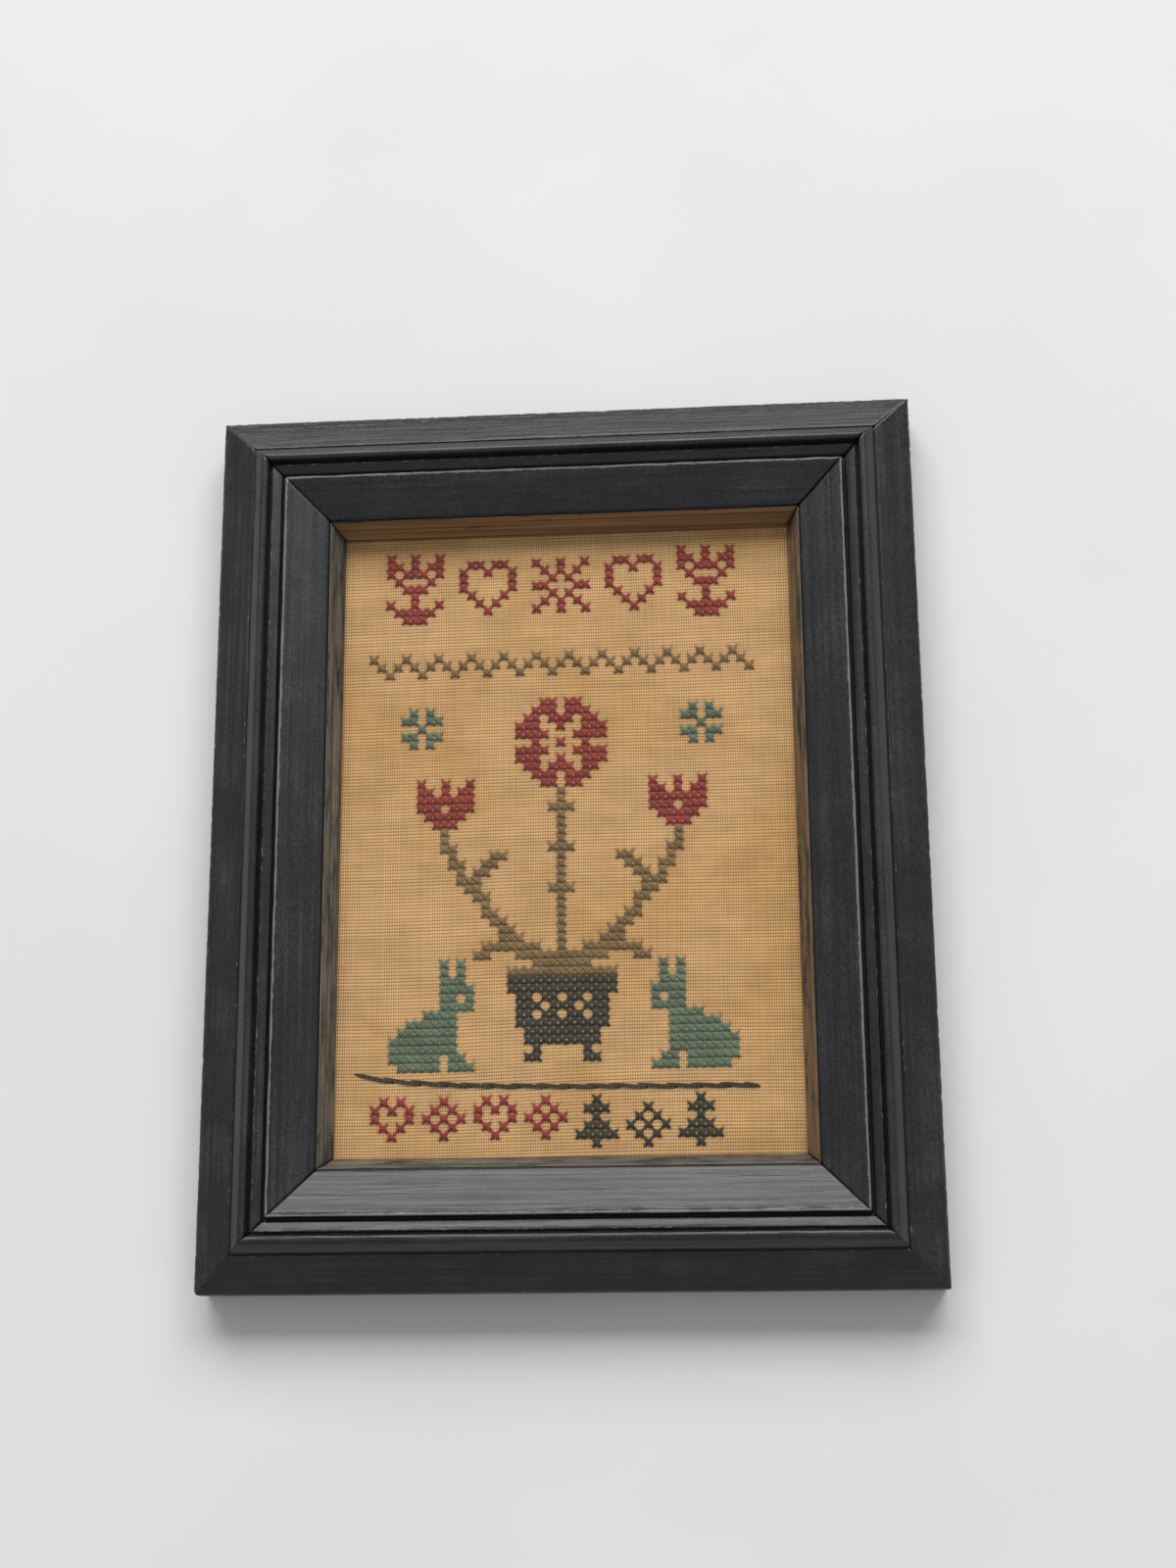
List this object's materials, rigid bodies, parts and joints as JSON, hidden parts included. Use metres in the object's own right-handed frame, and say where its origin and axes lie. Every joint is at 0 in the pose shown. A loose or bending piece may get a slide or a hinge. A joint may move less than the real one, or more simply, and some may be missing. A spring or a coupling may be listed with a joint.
{
  "type": "cross stitch sampler in a picture frame",
  "caption": "Cross stitch sampler on flat, stretched tan cloth, held in a black-painted wood picture frame with a stepped, mitred moulding.",
  "frame": {"origin": "middle of the frame's outline, on the plane that its back rests on", "axes": "+X to the right of the picture, +Y to its top, +Z out of its face; the frame lies on its back"},
  "size_m": [0.2034, 0.254, 0.023],
  "materials": {
    "frame_wood": "worn satin black paint over brown wood",
    "cloth": "tea-dyed plain weave with stranded cotton cross stitches in red, sage green, olive brown and dark green",
    "board": "plain grey-brown board, matt"
  },
  "bodies": {
    "root": {"rail_top": "frame_wood", "rail_bottom": "frame_wood", "rail_left": "frame_wood", "rail_right": "frame_wood", "sampler_cloth": "cloth", "mounting_board": "board"}
  },
  "joints": []
}
